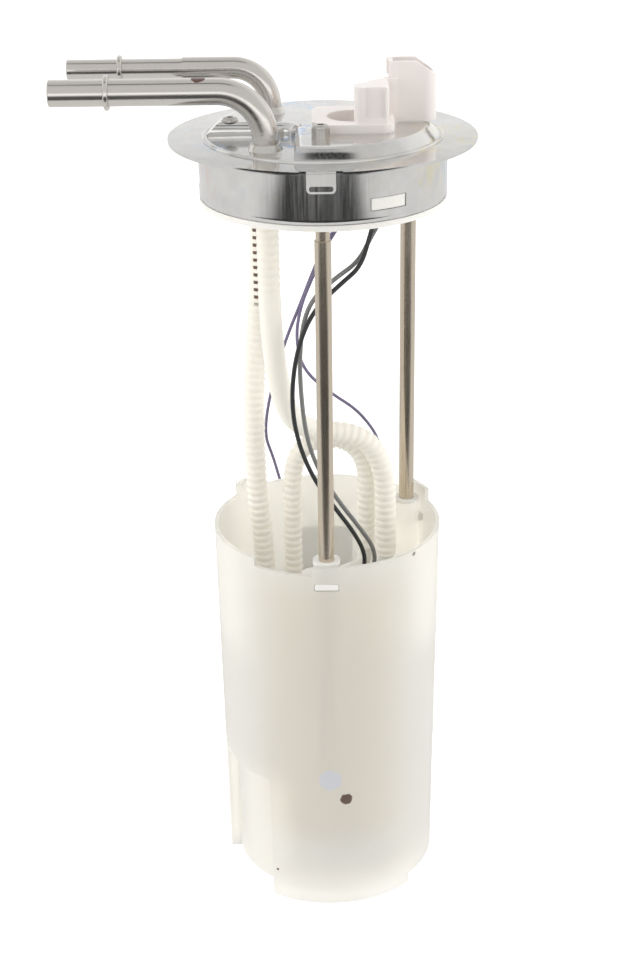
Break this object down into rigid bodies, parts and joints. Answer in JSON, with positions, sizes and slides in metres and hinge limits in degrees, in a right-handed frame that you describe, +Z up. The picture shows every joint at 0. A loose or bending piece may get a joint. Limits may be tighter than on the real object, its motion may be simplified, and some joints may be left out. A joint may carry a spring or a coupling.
{
  "type": "fuel pump module",
  "caption": "In-tank fuel pump module: stamped flange with two line tubes and a connector, guide rods and a spring-loaded reservoir that holds the pump.",
  "frame": {"origin": "on the axis of the round cover, on the underside of its flange", "axes": "+Z up along the cover's axis and the guide rods, -Y towards the front tab, the line tubes point to -X"},
  "size_m": [0.202, 0.1721, 0.4457],
  "materials": {
    "plated_steel": "bright tin plate with drawing marks",
    "line_tube_steel": "satin plated tube",
    "rod_steel": "ground steel with a warm passivated tint",
    "screw_steel": "plated, dull",
    "spring_steel": "drawn wire",
    "pump_steel": "plated case",
    "braze": "dull braze",
    "terminal_brass": "tinned",
    "white_nylon": "moulded, faint sheen",
    "carrier_nylon": "moulded, natural",
    "reservoir_plastic": "milky translucent, smooth",
    "hose_nylon": "translucent cream",
    "bush_acetal": "moulded",
    "pump_plastic": "glass filled",
    "sensor_plastic": "moulded",
    "sensor_ceramic": "printed ceramic",
    "impeller_plastic": "phenolic",
    "black_jacket": "extruded",
    "grey_jacket": "extruded",
    "purple_jacket": "extruded",
    "seal_rubber": "moulded",
    "valve_rubber": "fluorosilicone",
    "float_rubber": "closed-cell nitrile",
    "filter_mesh": "woven nylon sock",
    "magnet_ferrite": "sintered",
    "armature_winding": "varnished winding"
  },
  "bodies": {
    "cover": {"cover_plate": "plated_steel", "skirt_ring": "plated_steel", "feed_tube": "line_tube_steel", "return_tube": "line_tube_steel", "feed_braze_collar": "braze", "return_braze_collar": "braze", "cover_screws": "screw_steel", "connector_housing": "white_nylon", "connector_terminals": "terminal_brass", "inner_plug": "white_nylon", "port_seal": "seal_rubber", "rod_carrier": "carrier_nylon", "guide_rod_front": "rod_steel", "guide_rod_rear": "rod_steel", "rod_clip_front": "spring_steel", "rod_clip_rear": "spring_steel"},
    "reservoir": {"reservoir": "reservoir_plastic", "inlet_flap": "valve_rubber", "inlet_strainer": "filter_mesh", "pump_case": "pump_steel", "pump_outlet_cap": "pump_plastic", "pump_inlet_body": "pump_plastic", "pump_magnets": "magnet_ferrite", "pump_isolator": "seal_rubber", "pump_strainer": "filter_mesh", "pump_retainer": "carrier_nylon", "pump_plug": "white_nylon", "outlet_manifold": "carrier_nylon", "return_standpipe": "carrier_nylon", "jet_pump": "carrier_nylon", "jet_hose": "hose_nylon", "sensor_housing": "sensor_plastic", "sensor_card": "sensor_ceramic", "guide_bush_front": "bush_acetal", "guide_bush_rear": "bush_acetal", "guide_spring_front": "spring_steel", "guide_spring_rear": "spring_steel", "feed_hose": "hose_nylon", "return_hose": "hose_nylon", "black_wire": "black_jacket", "grey_wire": "grey_jacket", "sender_wire": "purple_jacket", "sender_ground_wire": "purple_jacket"},
    "float_arm": {"float_arm_hub": "bush_acetal", "float_arm": "spring_steel", "float": "float_rubber"},
    "pump_rotor": {"pump_armature": "armature_winding", "pump_impeller": "impeller_plastic"},
    "check_valve": {"pump_check_valve": "bush_acetal"}
  },
  "joints": [
    {"name": "reservoir_slide", "type": "slide", "parent": "cover", "child": "reservoir", "axis": [0, 0, 1], "range_m": [0, 0.06], "stiffness_N_per_m": 150, "springref_m": -0.08, "deforming": ["feed_hose", "return_hose", "black_wire", "grey_wire", "sender_wire", "sender_ground_wire", "guide_spring_front", "guide_spring_rear"]},
    {"name": "float_swing", "type": "hinge", "parent": "reservoir", "child": "float_arm", "pos_m": [0, 0.07, -0.268], "axis": [0, 1, 0], "range_deg": [0, 92]},
    {"name": "pump_spin", "type": "hinge", "parent": "reservoir", "child": "pump_rotor", "pos_m": [0.004, -0.008, -0.32], "axis": [0, 0, 1], "continuous": true},
    {"name": "outlet_valve_lift", "type": "slide", "parent": "reservoir", "child": "check_valve", "axis": [0, 0, 1], "range_m": [0, 0.0015], "stiffness_N_per_m": 30, "springref_m": -0.002}
  ]
}
